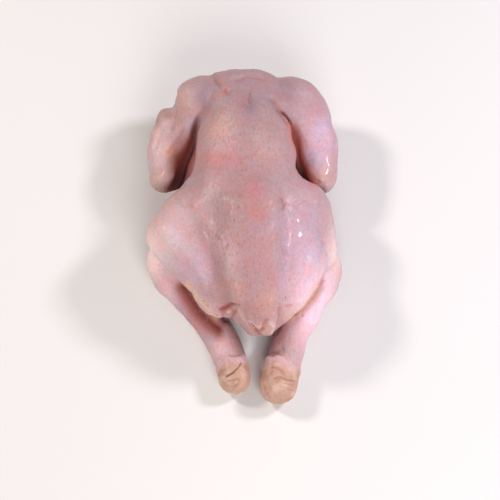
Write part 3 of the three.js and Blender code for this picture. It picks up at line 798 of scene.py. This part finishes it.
tree.links.new(wetness_share.socket, shader.inputs["Coat Weight"])
shader.inputs["Coat Roughness"].default_value = 0.12
shader.inputs["Specular IOR Level"].default_value = 0.35
shader.inputs["Subsurface Weight"].default_value = 0.25
shader.inputs["Subsurface Radius"].default_value = (1.0, 0.35, 0.25)
shader.inputs["Subsurface Scale"].default_value = 0.004
skin.data.materials.append(skin_finish)
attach(skin, "root")
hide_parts("chicken")


# Hock skins
# On the real bird the plucked skin ends above the hock in a ragged edge, and thick cream skin, dry and
# wrinkled, closes over the joint where the foot was cut off. Each is a cup grown round the end of a leg.
HOCK_THICKNESS = 0.6
HOCK_EDGE = 3.0
HOCK_TUCK = 1.6
HOCK_PINK_REACH = 12
HOCK_ROWS = (70, 40)
HOCK_COLUMNS = 176
# Fine wrinkles run round the joint: their gap, depth and sharpness
WRINKLE_GAP = 1.7
FINE_WRINKLE_DEPTH = 0.45
FINE_WRINKLE_SHARPNESS = 0.4
# Deeper creases of each hock skin: half width, depth below zero or height above it, and route
LEFT_WRINKLES = [
    (0.9, -1.5, [(241.5, 363), (238, 368), (233, 373), (226.5, 376.5)]),
    (1.1, -0.7, [(238, 378.5), (233, 380.5), (228, 381)]),
    (1.0, -0.6, [(240, 379), (238, 384), (234, 387)]),
    (1.1, -0.7, [(221, 361), (226, 358.5), (229.5, 361), (229, 364)]),
    (1.0, -0.5, [(236, 357), (231, 365), (224, 370)]),
    (1.3, 0.6, [(240, 367), (235, 373), (229, 378)]),
]
RIGHT_WRINKLES = [
    (1.0, -0.6, [(272, 367), (279, 369), (284, 374)]),
    (1.1, -0.7, [(275, 378), (280, 376.5), (286, 380), (294, 381)]),
    (1.0, -0.6, [(276, 382), (283, 383), (292, 385)]),
    (0.9, -0.5, [(279, 386), (286, 388), (294, 391)]),
    (1.0, 0.5, [(277, 380), (284, 381.5), (291, 383)]),
    (1.0, -0.5, [(264, 385), (266, 392), (270, 397)]),
]


def rings_closed(rows, columns):
    """Triangles over rings of points, with one more point at each end to close them: two for each
    four-sided cell and one for each gap round an end point."""
    row, column = np.meshgrid(np.arange(rows - 1), np.arange(columns), indexing="ij")
    after = (column + 1) % columns
    a, b = row * columns + column, row * columns + after
    c, d = b + columns, a + columns
    sides = np.stack([a, b, c, a, c, d], -1).reshape(-1, 3)
    here, there = np.arange(columns), (np.arange(columns) + 1) % columns
    last = (rows - 1) * columns
    first_fan = np.stack([there, here, np.full(columns, rows * columns)], 1)
    last_fan = np.stack([last + here, last + there, np.full(columns, rows * columns + 1)], 1)
    return np.concatenate([sides, first_fan, last_fan])


def hock_cup(leg, start, slant, wrinkles, seed):
    """Rings round the end of a leg: first straight along its last bone, from a start that wanders, then
    round the end as a quarter circle. Skin thickness, lumps and creases are added outwards. The fine
    wrinkles cross the bone, turned by the slant, which is how much sideways their gaps are counted."""
    bone = bone_line(leg)[-LIMB_STEPS - 1:]
    tipward = bone[-1, :3] - bone[0, :3]
    length = np.linalg.norm(tipward)
    tipward = tipward / length
    side = np.cross(tipward, (0, 0, 1))
    side /= np.linalg.norm(side)
    above = np.cross(side, tipward)
    turn = np.arange(HOCK_COLUMNS) * 2 * np.pi / HOCK_COLUMNS
    spoke = np.cos(turn)[:, None] * side + np.sin(turn)[:, None] * above
    wander = 1.6 * waves(spoke * 9, 8, seed) + 0.7 * waves(spoke * 9, 3, seed + 1)
    share = np.linspace(0, 1, HOCK_ROWS[0])[:, None]
    run = (start * length + wander) * (1 - share) + length * share
    steps = np.linspace(0, length, len(bone))
    centre = np.stack([np.interp(run, steps, bone[:, i]) for i in range(3)], -1)
    radius = np.interp(run, steps, bone[:, 3])
    bend = np.linspace(0, np.pi / 2, HOCK_ROWS[1] + 1)[1:-1, None] * np.ones(HOCK_COLUMNS)
    centre = np.concatenate([centre, np.broadcast_to(bone[-1, :3], bend.shape + (3,))])
    radius = np.concatenate([radius, np.full(bend.shape, bone[-1, 3])])
    bend = np.concatenate([np.zeros((HOCK_ROWS[0], HOCK_COLUMNS)), bend])
    outward = np.cos(bend)[..., None] * spoke + np.sin(bend)[..., None] * tipward
    points = centre + radius[..., None] * outward
    round_end = (run[-1] - run[0]) + bend[HOCK_ROWS[0]:] * bone[-1, 3]
    from_edge = np.concatenate([run - run[0], round_end])
    flat, flat_outward = points.reshape(-1, 3), outward.reshape(-1, 3)
    across, down = picture_place(flat)
    lift = HOCK_THICKNESS * eased(from_edge, 0, HOCK_EDGE) - HOCK_TUCK * (1 - eased(from_edge, 0, 0.9))
    lift = lift.ravel() + 0.35 * waves(flat, 9, seed + 2) + 0.13 * waves(flat, 3, seed + 3)
    along = flat @ (tipward + slant * side) + 1.3 * waves(flat, 10, seed + 4)
    fine = bell(np.sin(np.pi * along / WRINKLE_GAP), FINE_WRINKLE_SHARPNESS)
    crease = -FINE_WRINKLE_DEPTH * fine * eased(waves(flat, 8, seed + 5), -1.1, 0.3)
    seen_share = np.clip(0.4 - 1.4 * (flat_outward @ ahead), 0, 1)
    for half_width, height, route in wrinkles:
        crease = crease + seen_share * height * bell(from_route(across, down, route), half_width)
    flat = flat + flat_outward * (lift + crease * eased(from_edge, 0.5, 3).ravel())[:, None]
    first_end = bone[0, :3] + tipward * start * length
    last_end = bone[-1, :3] + tipward * (bone[-1, 3] + HOCK_THICKNESS)
    flat = np.concatenate([flat, [first_end, last_end]])
    flat[:, 2] = np.maximum(flat[:, 2], 0)
    rows = HOCK_ROWS[0] + HOCK_ROWS[1] - 1
    pink = (1 - eased(from_edge, 1, HOCK_PINK_REACH)).ravel()
    return flat, rings_closed(rows, HOCK_COLUMNS), np.append(pink, [1, 0]), np.append(crease, [0, 0])


HOCK_CREAM = tint(199, 158, 140)
HOCK_TAN = tint(180, 132, 106)
HOCK_PALE = tint(212, 177, 162)
HOCK_PINK = tint(216, 178, 186)
hock_finish, tree, shader = fresh_finish("hock_skin")
body = node(tree, "ShaderNodeTexCoord", {}, {}, "Object")
painted = attribute(tree, "paint", "Color")
flecks = noise(tree, body, 900.0, 3.0)
smears = noise(tree, body, 160.0, 4.0, 0.65)
cream = mixed(tree, "MULTIPLY", stretched(tree, smears, 0.4, 0.7) * 0.4, painted, (0.86, 0.74, 0.64, 1.0))
cream = mixed(tree, "MULTIPLY", stretched(tree, flecks, 0.55, 0.75) * 0.5, cream, (0.80, 0.66, 0.56, 1.0))
tree.links.new(cream.socket, shader.inputs["Base Color"])
roughened = {"Strength": 0.4, "Distance": 0.0008, "Height": smears + flecks * 0.4}
relief = node(tree, "ShaderNodeBump", {}, roughened)
tree.links.new(relief.socket, shader.inputs["Normal"])
tree.links.new((smears * 0.25 + 0.42).socket, shader.inputs["Roughness"])
shader.inputs["Coat Weight"].default_value = 0.12
shader.inputs["Coat Roughness"].default_value = 0.25
shader.inputs["Specular IOR Level"].default_value = 0.35
shader.inputs["Subsurface Weight"].default_value = 0.12
shader.inputs["Subsurface Radius"].default_value = (1.0, 0.5, 0.3)
shader.inputs["Subsurface Scale"].default_value = 0.003

# Name, leg, where on its last bone the skin starts, slant and routes of its wrinkles, and seed
HOCKS = [
    ("left_hock_skin", LEFT_LEG, 0.14, 0.7, LEFT_WRINKLES, 31),
    ("right_hock_skin", RIGHT_LEG, 0.04, 0.1, RIGHT_WRINKLES, 41),
]

for name, leg, start, slant, wrinkles, seed in HOCKS:
    places, faces, pink, crease = hock_cup(leg, start, slant, wrinkles, seed)
    hock = add_piece(name, places, faces)
    cream_paint = np.tile(HOCK_CREAM, (len(places), 1))
    cream_paint = laid_over(cream_paint, HOCK_PALE, eased(waves(places, 14, seed + 6), 0, 1.2))
    cream_paint = laid_over(cream_paint, HOCK_TAN, 0.45 * eased(-waves(places, 11, seed + 7), 0.3, 1.5))
    cream_paint = laid_over(cream_paint, HOCK_TAN * 0.8, eased(-crease, 0.12, 1.1))
    add_paint(hock, laid_over(cream_paint, HOCK_PINK, pink))
    hock.data.materials.append(hock_finish)
    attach(hock, "root")
    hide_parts("chicken")


# Pin feathers
# A few stubs of quill stay in the skin after plucking: horny, straw yellow and thinner than a match,
# each leaning back towards the tail from its follicle.
QUILL_SPOTS = [(250, 93), (250.6, 96), (249.8, 99), (250.4, 102), (258, 104), (262, 104), (246, 107),
               (224, 91), (288, 123), (286, 120), (231, 90)]
# Tracts with more of them: count, middle across and down, reach across and down
QUILL_TRACTS = [(8, 245, 235, 34, 50), (6, 255, 318, 10, 8), (6, 226, 242, 12, 12), (2, 300, 300, 12, 14)]
QUILL_LENGTH = (1.4, 3.0)
QUILL_RADIUS = 0.32
QUILL_TAPER = np.array([0.9, 1.0, 0.95, 0.75, 0.4])
QUILL_COLUMNS = 7
QUILL_STRAW = tint(200, 150, 112)
QUILL_BROWN = tint(150, 100, 78)


def skin_spots(spots, lowest=0):
    """Nearest seen vertex of the skin, no lower than a height, to each picture place, with the way out
    of the skin there. Of two as near, the higher one wins."""
    seen_across, seen_down = picture_place(vertices)
    usable = (faced > 0.35) & (vertices[:, 2] >= lowest)
    away = np.hypot(seen_across - spots[:, :1], seen_down - spots[:, 1:])
    away = away + np.where(usable, 0, 1e3) - vertices[:, 2] * 0.01
    nearest = away.argmin(1)
    return vertices[nearest], outward[nearest]


def many_rings(points):
    """Vertices and triangles of many like ringed pieces, from an array of piece, row, column and place,
    with the mean of the first and of the last ring as the two closing points."""
    pieces, rows, columns = points.shape[:3]
    flat = np.concatenate([points.reshape(pieces, -1, 3), points[:, :1].mean(2), points[:, -1:].mean(2)], 1)
    faces = rings_closed(rows, columns)[None] + (np.arange(pieces) * flat.shape[1])[:, None, None]
    return flat.reshape(-1, 3), faces.reshape(-1, 3)


draw = np.random.default_rng(51)
spots = [np.array(QUILL_SPOTS)]
for count, x, y, reach_x, reach_y in QUILL_TRACTS:
    spots.append(draw.normal((x, y), (reach_x * 0.5, reach_y * 0.5), (count, 2)))
root, way_out = skin_spots(np.concatenate(spots))
lean = way_out * 0.45 + np.array([0, -0.8, 0]) + draw.normal(0, 0.25, root.shape)
lean /= np.linalg.norm(lean, axis=1)[:, None]
quill_side = np.cross(lean, (1.0, 0.2, 0.1))
quill_side /= np.linalg.norm(quill_side, axis=1)[:, None]
quill_above = np.cross(lean, quill_side)
turn = np.arange(QUILL_COLUMNS) * 2 * np.pi / QUILL_COLUMNS
reach = draw.uniform(*QUILL_LENGTH, len(root))
steps = np.linspace(-0.2, 1, len(QUILL_TAPER))
stem = root[:, None] + lean[:, None] * (steps * reach[:, None])[..., None]
around = np.cos(turn)[:, None] * quill_side[:, None] + np.sin(turn)[:, None] * quill_above[:, None]
quills = stem[:, :, None] + around[:, None] * (QUILL_TAPER * QUILL_RADIUS)[:, None, None]
quill_places, quill_faces = many_rings(quills)
pin_feathers = add_piece("pin_feathers", quill_places, quill_faces)
quill_finish, tree, shader = fresh_finish("quill_horn")
body = node(tree, "ShaderNodeTexCoord", {}, {}, "Object")
streaks = noise(tree, body, 600.0, 2.0)
straw = mixed(tree, "MIX", stretched(tree, streaks, 0.4, 0.65), (*QUILL_STRAW, 1.0), (*QUILL_BROWN, 1.0))
tree.links.new(straw.socket, shader.inputs["Base Color"])
tree.links.new((streaks * 0.2 + 0.3).socket, shader.inputs["Roughness"])
pin_feathers.data.materials.append(quill_finish)
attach(pin_feathers, "root")
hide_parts("chicken")


# Fat along the skin edges
# Where the thigh skin was cut it ends in a fringe of soft yellowish fat beads, pressed together along
# the lower edge of each lobe and of the tail. Each edge has its count of beads and its route in pixels.
FAT_EDGES = [
    (46, [(183, 280), (190, 285), (197, 295), (205, 303), (213, 313), (221, 318), (230, 322), (242, 325)]),
    (26, [(320, 281), (317, 289), (311, 298), (303, 307), (295, 313), (286, 317), (279, 319)]),
    (5, [(252, 323), (256, 331), (259, 336)]),
]
# The least and the greatest radius, and a bead's height and the depth of its seat as shares of the radius
FAT_RADIUS = (0.5, 1.1)
FAT_FLATNESS = 0.62
FAT_SUNK = 0.32
FAT_ROWS = 7
FAT_COLUMNS = 12
FAT_BUTTER = tint(216, 176, 158)
FAT_PINK = tint(198, 150, 140)

spots = []
for count, edge in FAT_EDGES:
    edge = np.array(edge, float)
    run = np.append(0, np.cumsum(np.hypot(*np.diff(edge, axis=0).T)))
    along = np.sort(draw.uniform(0, run[-1], count))
    beads = np.stack([np.interp(along, run, edge[:, i]) for i in range(2)], 1)
    spots.append(beads + draw.normal(0, 0.9, beads.shape))
root, way_out = skin_spots(np.concatenate(spots), LOBE_EDGE_HEIGHT)
bead_side = np.cross(way_out, draw.normal(size=root.shape))
bead_side /= np.linalg.norm(bead_side, axis=1)[:, None]
bead_above = np.cross(way_out, bead_side)
size = draw.uniform(*FAT_RADIUS, len(root))[:, None, None, None]
bend = np.linspace(-np.pi / 2, np.pi / 2, FAT_ROWS + 2)[1:-1, None]
turn = np.arange(FAT_COLUMNS) * 2 * np.pi / FAT_COLUMNS
wide = np.cos(bend)[..., None] * (np.cos(turn)[:, None] * bead_side[:, None, None]
                                  + np.sin(turn)[:, None] * bead_above[:, None, None])
tall = FAT_FLATNESS * np.sin(bend)[..., None] * way_out[:, None, None] * np.ones((FAT_COLUMNS, 1))
middle = root[:, None, None] - way_out[:, None, None] * FAT_SUNK * size
beads = middle + size * (wide * draw.uniform(0.8, 1.5) + tall)
bead_places, bead_faces = many_rings(beads)
bead_places = bead_places + 0.12 * waves(bead_places, 1.5, 61)[:, None]
fat = add_piece("edge_fat", bead_places, bead_faces)
fat_finish, tree, shader = fresh_finish("soft_fat")
body = node(tree, "ShaderNodeTexCoord", {}, {}, "Object")
lumps = noise(tree, body, 260.0, 3.0)
butter = mixed(tree, "MIX", stretched(tree, lumps, 0.35, 0.65), (*FAT_BUTTER, 1.0), (*FAT_PINK, 1.0))
tree.links.new(butter.socket, shader.inputs["Base Color"])
tree.links.new((lumps * 0.2 + 0.3).socket, shader.inputs["Roughness"])
shader.inputs["Coat Weight"].default_value = 0.25
shader.inputs["Subsurface Weight"].default_value = 0.3
shader.inputs["Subsurface Radius"].default_value = (1.0, 0.6, 0.4)
shader.inputs["Subsurface Scale"].default_value = 0.003
fat.data.materials.append(fat_finish)
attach(fat, "root")
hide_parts("chicken")
